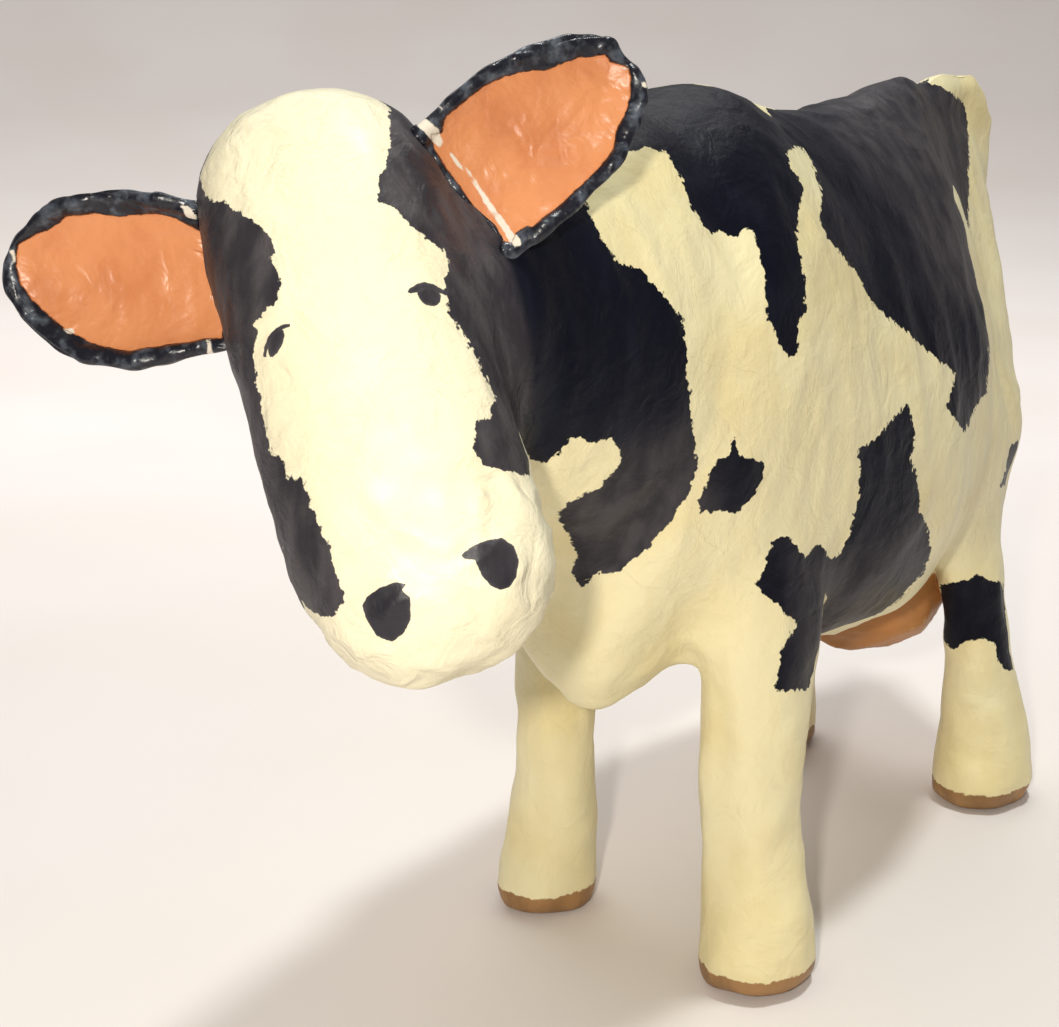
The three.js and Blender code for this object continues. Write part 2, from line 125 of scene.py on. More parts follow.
FACE_MARKS = {
    "left_lash": [
        (407, 292), (411, 287), (417, 284), (424, 282), (433, 284), (440, 288), (448, 293), (447, 296),
        (440, 293), (431, 290), (422, 290), (416, 292), (410, 294),
    ],
    "left_pupil": [
        (419, 290), (425, 286), (433, 287), (438, 290), (441, 296), (440, 302), (436, 306), (429, 306),
        (423, 303), (419, 298), (417, 293),
    ],
    "right_lash": [
        (290, 323), (284, 324), (276, 328), (270, 334), (266, 342), (264, 349), (263, 357), (266, 357),
        (267, 350), (269, 344), (273, 337), (280, 330), (290, 327),
    ],
    "right_pupil": [
        (283, 329), (285, 336), (282, 345), (278, 352), (273, 357), (270, 357), (268, 352), (268, 345),
        (271, 337), (276, 330),
    ],
    "right_nostril": [
        (362, 605), (367, 597), (379, 588), (396, 582), (406, 584), (402, 590), (410, 598), (411, 619),
        (404, 633), (392, 642), (377, 636), (366, 619),
    ],
    "left_nostril": [
        (461, 555), (471, 547), (487, 540), (502, 538), (514, 546), (519, 560), (516, 578), (510, 587),
        (501, 590), (491, 586), (482, 576), (475, 560), (464, 559),
    ],
}
BODY_PATCHES = {
    "shoulder": [
        (560, 150), (585, 205), (600, 235), (620, 264), (641, 270), (660, 290), (682, 317), (687, 344),
        (686, 368), (690, 395), (694, 435), (697, 465), (690, 490), (665, 530), (640, 555), (620, 571),
        (596, 575), (583, 588), (571, 573), (577, 556), (571, 535), (556, 518), (567, 502), (600, 489),
        (620, 464), (620, 447), (611, 437), (592, 443), (579, 437), (564, 441), (560, 455), (541, 464),
        (500, 440), (440, 340), (400, 200), (470, 100),
    ],
    "back": [
        (605, 100), (612, 135), (620, 154), (647, 147), (665, 152), (684, 180), (692, 207), (711, 234),
        (723, 231), (735, 239), (745, 227), (754, 231), (767, 290), (766, 314), (783, 352), (794, 357),
        (798, 347), (799, 320), (806, 314), (805, 282), (798, 247), (798, 221), (803, 189), (797, 172),
        (790, 167), (787, 151), (797, 146), (810, 156), (822, 194), (820, 218), (826, 237), (856, 272),
        (874, 306), (901, 328), (941, 363), (956, 371), (947, 408), (965, 432), (976, 405), (986, 395),
        (989, 363), (990, 330), (984, 295), (975, 262), (968, 221), (969, 167), (968, 127), (964, 104),
        (950, 92), (930, 82), (912, 50), (640, 50),
    ],
    "rib": [
        (733, 437), (740, 455), (765, 462), (763, 480), (750, 500), (735, 512), (715, 510), (700, 515),
        (697, 500), (710, 475), (715, 460), (728, 455),
    ],
    "flank": [
        (755, 582), (766, 566), (770, 540), (790, 537), (807, 558), (819, 541), (832, 561), (838, 555),
        (847, 540), (853, 521), (859, 491), (860, 465), (856, 450), (872, 442), (885, 428), (908, 402),
        (913, 424), (916, 439), (911, 459), (917, 480), (920, 497), (919, 512), (926, 521), (931, 551),
        (923, 574), (900, 598), (872, 621), (848, 634), (828, 641), (822, 647), (816, 663), (812, 689),
        (787, 691), (774, 688), (780, 666), (781, 651), (797, 623), (775, 604), (763, 592),
    ],
    "hind_leg": [
        (940, 584), (951, 584), (967, 580), (976, 574), (988, 580), (1002, 582), (1015, 640),
        (1014, 672), (1007, 670), (999, 662), (994, 644), (982, 638), (967, 641), (960, 645),
        (952, 650), (944, 640),
    ],
    "thigh": [
        (1030, 440), (1014, 442), (1009, 450), (1006, 470), (999, 487), (1020, 480),
    ],
}

# Where the black paint is greyer: painted sheen on the lower neck, the top of the rump and the edge of
# the belly, streaked like thinly laid paint.
SHEEN_AND_THIN_PAINT = [
    [(540, 480), (600, 478), (640, 450), (700, 420), (720, 600), (540, 620)],
    [(830, 70), (990, 70), (990, 300), (940, 290), (900, 200), (840, 140)],
    [(800, 560), (860, 560), (930, 520), (940, 640), (800, 700)],
]

# Patches on the side that the camera doesn't see: middle from the front feet, and half sizes, in mm.
HIDDEN_PATCHES = [
    ((-60, 40, 300), (70, 62, 62)),
    ((-75, 22, 235), (40, 40, 48)),
    ((-22, 160, 344), (52, 76, 42)),
    ((-62, 200, 288), (50, 44, 56)),
    ((-85, 150, 175), (42, 34, 52)),
    ((-50, 275, 240), (42, 36, 52)),
    ((-59, 205, 92), (40, 40, 26)),
    ((-60, -62, 225), (42, 46, 40)),
    ((20, -100, 330), (46, 56, 60)),
]
HEAD_HIDDEN_PATCHES = [
    ((-44, 14, -50), (34, 46, 60)),
    ((44, 14, -50), (34, 46, 66)),
    ((40, 24, -100), (30, 38, 34)),
    ((-42, 18, -120), (26, 30, 50)),
]

# Orange ear linings as the camera sees them; white paper showing, and one painted highlight.
EAR_LININGS = {
    "left_ear": [
        (441, 132), (444, 117), (460, 104), (483, 86), (505, 76), (521, 72), (546, 70), (567, 61),
        (583, 57), (599, 56), (605, 55), (610, 61), (627, 67), (631, 79), (630, 98), (624, 117),
        (616, 132), (613, 151), (599, 167), (580, 186), (561, 204), (542, 220), (533, 228), (527, 227),
        (517, 232), (511, 244), (500, 240), (480, 215), (462, 190), (446, 168), (434, 150), (430, 134),
    ],
    "right_ear": [
        (18, 245), (35, 235), (54, 227), (66, 216), (83, 215), (100, 214), (115, 217), (129, 216),
        (156, 213), (176, 218), (185, 223), (200, 232), (215, 270), (222, 310), (222, 338), (206, 339),
        (188, 343), (153, 348), (129, 352), (106, 348), (88, 342), (65, 329), (50, 317), (32, 299),
        (21, 285), (16, 267),
    ],
}
EAR_BARE_AND_HIGHLIGHT = {
    "left_ear": [
        [(416, 117), (430, 122), (440, 131), (444, 145), (439, 149), (430, 140), (419, 130)],
        [
            (444, 147), (458, 159), (470, 170), (478, 182), (490, 200), (500, 213), (510, 228),
            (520, 240), (522, 246), (514, 249), (505, 236), (495, 219), (484, 203), (475, 188),
            (467, 176), (454, 163),
        ],
        [(437, 103), (440, 104), (445, 114), (441, 116)],
        [(621, 66), (628, 67), (629, 70), (622, 70)],
        [(640, 83), (645, 84), (645, 89), (641, 88)],
    ],
    "right_ear": [
        [(10, 250), (14, 249), (17, 262), (13, 264)],
        # A painted highlight on the lower rim, not white paper.
        [(63, 329), (72, 328), (76, 333), (69, 337)],
        [(180, 205), (188, 204), (196, 210), (197, 220), (188, 216)],
        [(206, 340), (212, 338), (214, 352), (208, 354)],
    ],
}


def turned(*turns):
    """The 3 by 3 matrix of these turns about an axis, in degrees, one after the other."""
    matrix = Matrix.Identity(3)
    for axis, degrees in turns:
        matrix = matrix @ Matrix.Rotation(math.radians(degrees), 3, axis)
    return np.array(matrix)


SKULL = turned(*HEAD_TURNS)


def camera_axes():
    """The camera's right, up and forward directions."""
    forward = np.array([
        -math.sin(CAMERA_TURN) * math.cos(CAMERA_TIP),
        math.cos(CAMERA_TURN) * math.cos(CAMERA_TIP),
        -math.sin(CAMERA_TIP),
    ])
    right = np.array([math.cos(CAMERA_TURN), math.sin(CAMERA_TURN), 0])
    return right, np.cross(right, forward), forward


def seen_at(points):
    """Where the camera sees these points, in pixels, and how far away they are."""
    right, up, forward = camera_axes()
    away = points - CAMERA_PLACE
    depth = away @ forward
    across = PICTURE[0] / 2 + FOCAL * (away @ right) / depth
    down = PICTURE[1] / 2 - FOCAL * (away @ up) / depth
    return np.stack([across, down], axis=1), depth


def inside(places, outline):
    """Distance of flat places to a closed outline, more than 0 within it."""
    corners = np.array(outline, float)
    nearest = np.full(len(places), np.inf)
    within = np.zeros(len(places), bool)
    for start, end in zip(corners, np.roll(corners, -1, axis=0)):
        side = end - start
        away = places - start
        share = np.clip(away @ side / (side @ side), 0, 1)
        nearest = np.minimum(nearest, np.linalg.norm(away - share[:, None] * side, axis=1))
        if start[1] != end[1]:
            level = (start[1] > places[:, 1]) != (end[1] > places[:, 1])
            crossing = start[0] + (places[:, 1] - start[1]) / (end[1] - start[1]) * side[0]
            within ^= level & (places[:, 0] < crossing)
    return np.where(within, nearest, -nearest)


def inside_any(places, outlines, scale):
    """The same for several outlines, in metres, where scale is the size of a pixel at each place."""
    return np.max([inside(places, outline) for outline in outlines], axis=0) * scale


def inside_egg(points, middle, sizes):
    """Distance within an egg of these half sizes, more than 0 within it."""
    away = (points - middle) / sizes
    reach = np.linalg.norm(away, axis=1) + 1e-9
    slope = np.linalg.norm(away / sizes, axis=1) + 1e-9
    return -reach * (reach - 1) / slope


def melted(depths, blend=0.006):
    """The greatest of several depths, rounded where two of them are alike."""
    return np.log(np.sum(np.exp(np.clip(np.array(depths) / blend, -60, 60)), axis=0)) * blend


def wobble(points, size, seed=0):
    """Smooth noise from about -1 to 1, in lumps of about this size."""
    shift = 17.3 * seed
    return np.array([noise.noise((x + shift, y - shift, z + 2 * shift)) for x, y, z in points / size])


def ease(value, low, high):
    """Rises smoothly from 0 at low to 1 at high."""
    share = np.clip((value - low) / (high - low), 0, 1)
    return share * share * (3 - 2 * share)


def places_of(mesh):
    """The vertices of a mesh as an array."""
    flat = np.empty(len(mesh.vertices) * 3)
    mesh.vertices.foreach_get("co", flat)
    return flat.reshape(-1, 3)


def normals_of(mesh):
    """The vertex normals of a mesh as an array."""
    flat = np.empty(len(mesh.vertices) * 3, dtype=np.float32)
    mesh.vertex_normals.foreach_get("vector", flat)
    return flat.reshape(-1, 3).astype(float)


def move_to(mesh, points):
    """Puts the vertices of a mesh at these places."""
    mesh.vertices.foreach_set("co", points.ravel())
    mesh.update()


def note(mesh, name, values):
    """Keeps one number for each vertex as an attribute of the mesh."""
    layer = mesh.attributes.new(name, "FLOAT", "POINT")
    layer.data.foreach_set("value", values.astype(np.float32))


def work_on(piece):
    """Selects this piece alone and makes it active."""
    bpy.ops.object.select_all(action="DESELECT")
    piece.select_set(True)
    bpy.context.view_layer.objects.active = piece


def copy_of_node(node, name):
    """A copy of a solid with its own mesh, its triangles joined up and turned to squares."""
    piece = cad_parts[node].copy()
    piece.data = piece.data.copy()
    piece.name = piece.data.name = name
    piece.parent = None
    bpy.context.collection.objects.link(piece)
    work_on(piece)
    bpy.ops.object.mode_set(mode="EDIT")
    bpy.ops.mesh.select_all(action="SELECT")
    bpy.ops.mesh.remove_doubles(threshold=1e-5)
    bpy.ops.mesh.tris_convert_to_quads(face_threshold=math.pi, shape_threshold=math.pi)
    bpy.ops.object.mode_set(mode="OBJECT")
    piece.data.materials.clear()
    return piece


def smoothed(piece, levels):
    """Subdivides a piece smoothly, so that its old vertices stay where they are."""
    rounding = piece.modifiers.new("rounding", "SUBSURF")
    rounding.levels = rounding.render_levels = levels
    wanted = places_of(piece.data)
    control = wanted.copy()
    for _ in range(2):
        result = piece.evaluated_get(bpy.context.evaluated_depsgraph_get()).data
        control += wanted - places_of(result)[: len(wanted)]
        move_to(piece.data, control)
        bpy.context.view_layer.update()
    work_on(piece)
    bpy.ops.object.modifier_apply(modifier=rounding.name)


def finer_where(piece, chosen, cuts=1):
    """Cuts the faces whose middles are chosen into smaller ones."""
    work_on(piece)
    mesh = piece.data
    middles = np.empty(len(mesh.polygons) * 3)
    mesh.polygons.foreach_get("center", middles)
    wanted = chosen(middles.reshape(-1, 3))
    bpy.ops.object.mode_set(mode="EDIT")
    bpy.ops.mesh.select_all(action="DESELECT")
    bpy.ops.object.mode_set(mode="OBJECT")
    mesh.polygons.foreach_set("select", wanted)
    bpy.ops.object.mode_set(mode="EDIT")
    bpy.ops.mesh.select_mode(type="FACE")
    bpy.ops.mesh.subdivide(number_cuts=cuts, smoothness=0)
    bpy.ops.object.mode_set(mode="OBJECT")


class Wire:
    """A socket of a material, so that its maths can be written as an expression."""

    def __init__(self, sheet, socket):
        self.sheet = sheet
        self.socket = socket

    def maths(self, operation, *others):
        """This wire and the others through one Math node."""
        return self.sheet.node("Math", {"operation": operation}, [self, *others])

    def __add__(self, other):
        return self.maths("ADD", other)

    def __sub__(self, other):
        return self.maths("SUBTRACT", other)

    def __mul__(self, other):
        return self.maths("MULTIPLY", other)

    def __rsub__(self, other):
        return self.sheet.node("Math", {"operation": "SUBTRACT"}, [other, self])

    __radd__ = __add__
    __rmul__ = __mul__

    def most(self, other):
        """The greater of this wire and another."""
        return self.maths("MAXIMUM", other)

    def eased(self, low, high, start=0.0, end=1.0):
        """Rises or falls smoothly from start at low to end at high."""
        settings = {"interpolation_type": "SMOOTHSTEP"}
        return self.sheet.node("MapRange", settings, [self, low, high, start, end])


class Finish:
    """A new material and its shader."""

    def __init__(self, name):
        self.material = bpy.data.materials.new(name)
        self.material.use_nodes = True
        self.tree = self.material.node_tree
        self.shader = self.tree.nodes["Principled BSDF"]
        self.place = self.node("TexCoord", output="Object")

    def feed(self, socket, value):
        """Links a wire to a socket, or sets the socket to a plain value."""
        if isinstance(value, Wire):
            self.tree.links.new(value.socket, socket)
        elif socket.type == "RGBA":
            socket.default_value = (*value, 1)
        else:
            socket.default_value = value

    def node(self, kind, settings=None, inputs=(), output=0):
        """A new node: its settings first, then its inputs in order or by name, and one output."""
        made = self.tree.nodes.new("ShaderNode" + kind)
        for name, value in (settings or {}).items():
            setattr(made, name, value)
        pairs = inputs.items() if isinstance(inputs, dict) else enumerate(inputs)
        for key, value in pairs:
            self.feed(made.inputs[key], value)
        return Wire(self, made.outputs[output])

    def mixed(self, share, first, second):
        """The first colour, turning into the second as share goes from 0 to 1."""
        settings = {"data_type": "RGBA"}
        return self.node("Mix", settings, {0: share, 6: first, 7: second}, output=2)

    def grain(self, size, detail=2.0, stretch=(1, 1, 1), **more):
        """Cloudy noise about 0.5, in lumps of this size in metres, drawn out along an axis."""
        drawn = {"Vector": self.place, "Scale": stretch}
        place = self.node("Mapping", {"vector_type": "POINT"}, drawn)
        inputs = {"Vector": place, "Scale": 1 / size, "Detail": detail, **more}
        return self.node("TexNoise", None, inputs, output=0)

    def height(self):
        """Height above the floor in metres."""
        return self.node("SeparateXYZ", None, [self.place], output="Z")

    def creases(self, size, stretch=(1, 1, 1)):
        """Thin wandering lines, 1 along their middles and 0 between them."""
        away = (self.grain(size, 3.0, stretch, Distortion=0.6) - 0.5).maths("ABSOLUTE")
        return away.eased(0.0, 0.022, 1.0, 0.0)

    def strips(self, size):
        """Pasted pieces of paper of about this size, each with its own height from 0 to 1."""
        long = {"Vector": self.place, "Scale": (1, 0.7, 0.5)}
        place = self.node("Mapping", {"vector_type": "POINT"}, long)
        bend = self.node("TexNoise", None, {"Vector": self.place, "Scale": 60.0}, output="Color")
        place = self.node("VectorMath", {"operation": "MULTIPLY_ADD"}, [bend, (0.006,) * 3, place])
        inputs = {"Vector": place, "Scale": 1 / size}
        cells = self.node("TexVoronoi", {"feature": "F1"}, inputs, output="Color")
        return self.node("SeparateColor", None, [cells], output="Red")

    def attribute(self, name):
        """A number kept on the vertices of the piece."""
        return self.node("Attribute", {"attribute_name": name}, output="Fac")

    def set(self, **values):
        """Feeds the shader's sockets, whose names have underscores here for spaces."""
        sockets = {socket.name.lower().replace(" ", "_"): socket for socket in self.shader.inputs}
        for name, value in values.items():
            self.feed(sockets[name], value)

    def raised(self, *layers):
        """Feeds the normal from heights in metres, each with the strength of its bump."""
        normal = None
        for height, strength in layers:
            inputs = {"Height": height, "Strength": strength, "Distance": 1.0}
            if normal:
                inputs["Normal"] = normal
            normal = self.node("Bump", None, inputs)
        self.feed(self.shader.inputs["Normal"], normal)


class CowPaintSettings(bpy.types.PropertyGroup):
    """Colours of the paint and heights of the relief."""

    cream: bpy.props.FloatVectorProperty(
        name="Cream", description="Main colour of the cow", subtype="COLOR", size=3, min=0, max=1,
        default=(0.79, 0.72, 0.45),
    )
    black: bpy.props.FloatVectorProperty(
        name="Black", description="Colour of the patches and the ears", subtype="COLOR", size=3, min=0,
        max=1, default=(0.0035, 0.004, 0.01),
    )
    lining: bpy.props.FloatVectorProperty(
        name="Lining", description="Colour of the ears' linings", subtype="COLOR", size=3, min=0, max=1,
        default=(0.64, 0.25, 0.098),
    )
    hoof: bpy.props.FloatVectorProperty(
        name="Hooves", description="Colour of the bands round the feet", subtype="COLOR", size=3, min=0,
        max=1, default=(0.35, 0.19, 0.075),
    )
    udder: bpy.props.FloatVectorProperty(
        name="Udder", description="Colour of the udder", subtype="COLOR", size=3, min=0, max=1,
        default=(0.5, 0.215, 0.065),
    )
    lumps: bpy.props.FloatProperty(
        name="Lumps", description="Height of the broad lumps in the skin", unit="LENGTH", min=0,
        max=0.004, default=0.0011,
    )
    wrinkles: bpy.props.FloatProperty(
        name="Wrinkles", description="Height of the folds in the pasted paper", unit="LENGTH", min=0,
        max=0.002, default=0.0007,
    )
    hoof_band: bpy.props.FloatProperty(
        name="Hoof Band", description="Height of the brown band round each foot", unit="LENGTH", min=0,
        max=0.03, default=0.0105,
    )


class CowStageSettings(bpy.types.PropertyGroup):
    """The floor and the light."""

    floor: bpy.props.FloatVectorProperty(
        name="Floor", description="Colour of the floor", subtype="COLOR", size=3, min=0, max=1,
        default=(0.8, 0.76, 0.74),
    )
    flash_power: bpy.props.FloatProperty(
        name="Flash", description="Power of the light beside the camera", subtype="POWER", min=0,
        max=500, default=4.6,
    )
    lamp_power: bpy.props.FloatProperty(
        name="Lamp", description="Power of the light above the cow", subtype="POWER", min=0,
        max=500, default=15,
    )
    wash_power: bpy.props.FloatProperty(
        name="Wash", description="Power of the light on the wall behind", subtype="POWER", min=0,
        max=500, default=32,
    )
    sky: bpy.props.FloatProperty(
        name="Sky", description="Strength of the light from all round", min=0, max=4, default=0.28,
    )


def skin_finish(settings):
    """Painted pasted paper: cream with black patches, brown hooves and an orange-brown udder."""
    finish = Finish("painted_paper_skin")
    head = finish.attribute("head")
    ragged = (finish.grain(0.006, 3.0) - 0.5) * 0.003 + (finish.grain(0.0022, 3.0) - 0.5) * 0.0034
    black = (finish.attribute("patch") + ragged).eased(-0.0002, 0.0002)
    marks = (finish.attribute("mark") + (finish.grain(0.0015) - 0.5) * 0.0006).eased(-0.0001, 0.0001)
    udder = (finish.attribute("udder") + ragged * 0.5).eased(-0.0003, 0.0003)
    black = (black * (1 - udder)).most(marks)
    hoof = (finish.attribute("hoof") + ragged * 0.9).eased(-0.0003, 0.0003)

    # Thin creases in the tissue: level ones on the head, upright ones on the body.
    level = finish.creases(0.009, stretch=(1, 1, 2.4))
    upright = finish.creases(0.011, stretch=(1, 1, 0.35))
    patchy = finish.grain(0.03, 3.0).eased(0.42, 0.62)
    shins = finish.height().eased(0.11, 0.15)
    creases = (level * head * 0.5 + upright * (1 - head) * shins * 0.6) * patchy
    hairs = finish.creases(0.007, stretch=(1, 1, 2.4)) * finish.attribute("crown") * patchy

    cream = tuple(settings.cream)
    warm = tuple(c * s for c, s in zip(cream, (0.94, 0.87, 0.7)))
    tan = tuple(c * s for c, s in zip(cream, (0.8, 0.62, 0.42)))
    painted_flash_white = tuple(0.35 * 0.8 + 0.65 * c for c in cream)
    cloud = finish.grain(0.05, 3.0)
    strokes = finish.grain(0.012, 4.0, stretch=(1, 1, 0.3))
    pale = finish.mixed(cloud.eased(0.4, 0.75) * 0.8, cream, warm)
    pale = finish.mixed(strokes.eased(0.52, 0.8) * 0.35, pale, warm)
    # The head is paled towards white: painted flash light washing out the face.
    pale = finish.mixed(head * 0.7, pale, painted_flash_white)
    # Darkening the creases towards tan is painted shade in their folds; the crown also gets darker tan
    # lines.
    pale = finish.mixed(creases * 0.12 + hairs * 0.3, pale, tan)

    dark = tuple(settings.black)
    worn = (0.006, 0.0075, 0.015)
    # A grey painted on the black as sheen and streaked like thinly laid paint; on the head it is
    # painted flash-lit sheen.
    sheen_and_thin_grey = (0.07, 0.063, 0.068)
    streaks = finish.grain(0.009, 4.0, stretch=(1, 1, 0.4))
    night = finish.mixed(streaks.eased(0.45, 0.75), dark, worn)
    sheen_and_thin_paint = (streaks.eased(0.35, 0.68) * 0.6 + 0.4) * finish.attribute("sheen_and_thin_paint")
    night = finish.mixed(sheen_and_thin_paint, night, sheen_and_thin_grey)
    brown = tuple(settings.hoof)
    dull = tuple(c * 0.72 for c in brown)
    horn = finish.mixed(strokes.eased(0.4, 0.65), brown, dull)
    flesh = tuple(settings.udder)
    deep = tuple(c * 0.75 for c in flesh)
    flesh = finish.mixed(cloud.eased(0.35, 0.65), flesh, deep)
    colour = finish.mixed(udder, pale, flesh)
    colour = finish.mixed(hoof, colour, horn)
    colour = finish.mixed(black, colour, night)
    roughness = 0.5 - black * 0.08 + (finish.grain(0.03, 3.0) - 0.5) * 0.2 + (streaks - 0.5) * 0.16
    gloss = (1 - black) * 0.4 + marks * 0.5
    finish.set(base_color=colour, roughness=roughness, specular_ior_level=0.12, coat_weight=gloss,
               coat_roughness=0.4)

    paper = finish.grain(0.006, 5.0, Roughness=0.6)
    folds = finish.grain(0.014, 3.0, Distortion=1.2) * (0.5 + head * 0.5)
    strips = finish.strips(0.028)
    brush = finish.grain(0.0022, 3.0, stretch=(1, 1, 0.5))
    finish.raised((folds * 0.0018 + strips * 0.0003, 1.0), (paper * 0.0005 + creases * 0.0001, 1.0),
                  (brush * 0.00004, 1.0))
    return finish.material


def ear_finish(settings):
    """Glossy black card with painted highlights, an orange lining and white paper along the root."""
    finish = Finish("painted_ear_card")
    ragged = (finish.grain(0.003, 3.0) - 0.5) * 0.0016
    lining = (finish.attribute("lining") + ragged).eased(-0.00025, 0.00025)
    # White paper, and on the right ear one painted highlight, in pale grey-white.
    bare_and_highlight = (finish.attribute("bare_and_highlight") + ragged - 0.0002).eased(-0.0002, 0.0003)
    orange = tuple(settings.lining)
    deep = tuple(c * s for c, s in zip(orange, (0.86, 0.78, 0.75)))
    warm = finish.mixed(finish.grain(0.02, 4.0).eased(0.4, 0.7), orange, deep)
    # Painted highlights: bluish-grey flecks on the black, strongest along the front rim.
    painted_glint = finish.grain(0.005, 4.0).eased(0.46, 0.74) * (finish.attribute("rim") * 0.8 + 0.2)
    dark = finish.mixed(painted_glint, tuple(settings.black), (0.08, 0.095, 0.12))
    colour = finish.mixed(lining, dark, warm)
    colour = finish.mixed(bare_and_highlight, colour, (0.68, 0.62, 0.52))
    roughness = 0.32 + lining * 0.05 + bare_and_highlight * 0.4 + (finish.grain(0.01) - 0.5) * 0.2
    finish.set(base_color=colour, roughness=roughness)
    crumple = finish.grain(0.022, 2.0, Distortion=0.8)
    dents = finish.grain(0.007, 2.0, Distortion=0.5)
    fine = finish.grain(0.0025, 3.0)
    finish.raised((crumple * 0.0022, 1.0), (dents * (0.0014 - lining * 0.0006), 1.0),
                  (fine * 0.0002, 1.0))
    return finish.material


def in_skull(points):
    """Places in the head's own frame: across, out of the back of the head, and up from the crown."""
    return (points - CROWN) @ SKULL


def head_share(points):
    """1 on the head and 0 on the neck and the body."""
    skull = in_skull(points)
    around = np.hypot(skull[:, 0], skull[:, 1]) / (HEAD_WIDTH / 2)
    return ease(-around, -1.32, -1.2) * ease(-skull[:, 2], -0.03, -0.02)


def patch_depth(points, normals):
    """How far each point is within a black patch, on the side seen and on the others."""
    places, depth = seen_at(points)
    scale = depth / FOCAL
    toward = CAMERA_PLACE - points
    toward /= np.linalg.norm(toward, axis=1)[:, None]
    facing = np.einsum("ij,ij->i", normals, toward)
    skull = in_skull(points)
    on_head = head_share(points)

    # Off the side seen, the patches are eggs bent out of shape.
    warp = np.stack([wobble(points, 0.06, seed) for seed in (1, 2, 3)], axis=1) * 0.026
    warp += np.stack([wobble(points, 0.02, seed) for seed in (21, 22, 23)], axis=1) * 0.007
    body_hidden = melted([
        inside_egg(points + warp, FRONT_FEET + np.array(middle) * MM, np.array(sizes) * MM)
        for middle, sizes in HIDDEN_PATCHES
    ])
    head_hidden = melted([
        inside_egg(skull + warp * 0.4, np.array(middle) * MM, np.array(sizes) * MM)
        for middle, sizes in HEAD_HIDDEN_PATCHES
    ])
    feet = points - FRONT_FEET
    tail = np.minimum(TAIL_STRIP - np.abs(feet[:, 0]), feet[:, 1] - TAIL_START)
    body_hidden = np.minimum(body_hidden, -tail)

    # On it they follow their outlines, and each passes into the other where the skin turns away.
    body_seen = inside_any(places, BODY_PATCHES.values(), scale)
    head_seen = inside_any(places, HEAD_PATCHES.values(), scale)
    left = np.where(feet[:, 2] < LEG_TOP, ease(feet[:, 0], 0.0, 0.008), 1)
    near = ease(facing, 0.02, 0.1) * left
    body = body_hidden + (body_seen - body_hidden) * near
    head = head_hidden + (head_seen - head_hidden) * ease(facing, 0.02, 0.15)
    return body + (head - body) * on_head


def mark_depth(points, normals):
    """How far each point is within an eye or a nostril."""
    places, depth = seen_at(points)
    marks = inside_any(places, FACE_MARKS.values(), depth / FOCAL)
    toward = CAMERA_PLACE - points
    facing = np.einsum("ij,ij->i", normals, toward)
    skull = in_skull(points)
    around = np.hypot(skull[:, 0], skull[:, 1]) / (HEAD_WIDTH / 2)
    return np.where((facing > 0) & (around < 1.3), marks, FAR_OUTSIDE)


def sheen_and_thin_share(points, marks):
    """How grey the black paint is, from 0 to 1: painted sheen within the outlines, and painted
    flash-lit sheen with brush streaks over the whole head, half as strong on the eyes and nostrils.
    """
    places, depth = seen_at(points)
    seen = ease(inside_any(places, SHEEN_AND_THIN_PAINT, depth / FOCAL), -0.012, 0.012)
    return np.maximum(seen * 0.8, head_share(points) * (1 - 0.5 * ease(marks, 0, 0.001)))


def skin_relief(points, settings):
    """How far the skin stands proud of the smooth solid, near 0 at the soles."""
    feet = points - FRONT_FEET
    skull = in_skull(points)
    head = head_share(points)
    legs = ease(-feet[:, 2], -0.14, -0.1)
    flank = ease(feet[:, 1], 0.0, 0.06) * ease(feet[:, 2], 0.11, 0.16) * (1 - head)
    muzzle = ease(-skull[:, 2], 0.11, 0.15)
    cheek = np.exp(-np.sum(((skull - CHEEK_FOLDS) / CHEEK_REACH) ** 2, axis=1))

    # Lumps all over, and upright folds on the flanks and the legs.
    lumps = wobble(points, 0.045, 4) + 0.6 * wobble(points, 0.02, 5) + 0.25 * wobble(points, 0.009, 9)
    lumps *= 1 + legs * 0.7
    lumps += wobble(points * (1, 1, 0.3), 0.024, 6) * (flank * 1.6 + legs * 1.3)

    # Sharp creases: upright on the body and the legs, level on the head, deep on the left cheek.
    creases = np.maximum(1 - 3 * np.abs(wobble(points * (1, 1, 0.4), 0.02, 7)), 0) * (1 - head)
    ridges = np.maximum(1 - 1.6 * np.abs(wobble(points * (1, 1, 0.22), 0.02, 13)), 0) * legs
    folds = np.maximum(1 - 2.5 * np.abs(wobble(skull * (1, 1, 2.2), 0.022, 8)), 0)
    deep = np.maximum(1 - 2.5 * np.abs(wobble(skull * (1, 1, 0.5), 0.013, 12)), 0) * cheek
    wrinkles = creases + ridges * 2.5 + deep * 2.2

    # Pressed facets between the folds of the head, strongest on the muzzle.
    facets = np.abs(wobble(skull * (1, 1, 1.6), 0.017, 11))
    wrinkles += (folds - facets * 2.4) * head * (0.3 + muzzle)
    height = lumps * settings.lumps + wrinkles * settings.wrinkles
    return height * ease(points[:, 2], 0.0005, 0.012)


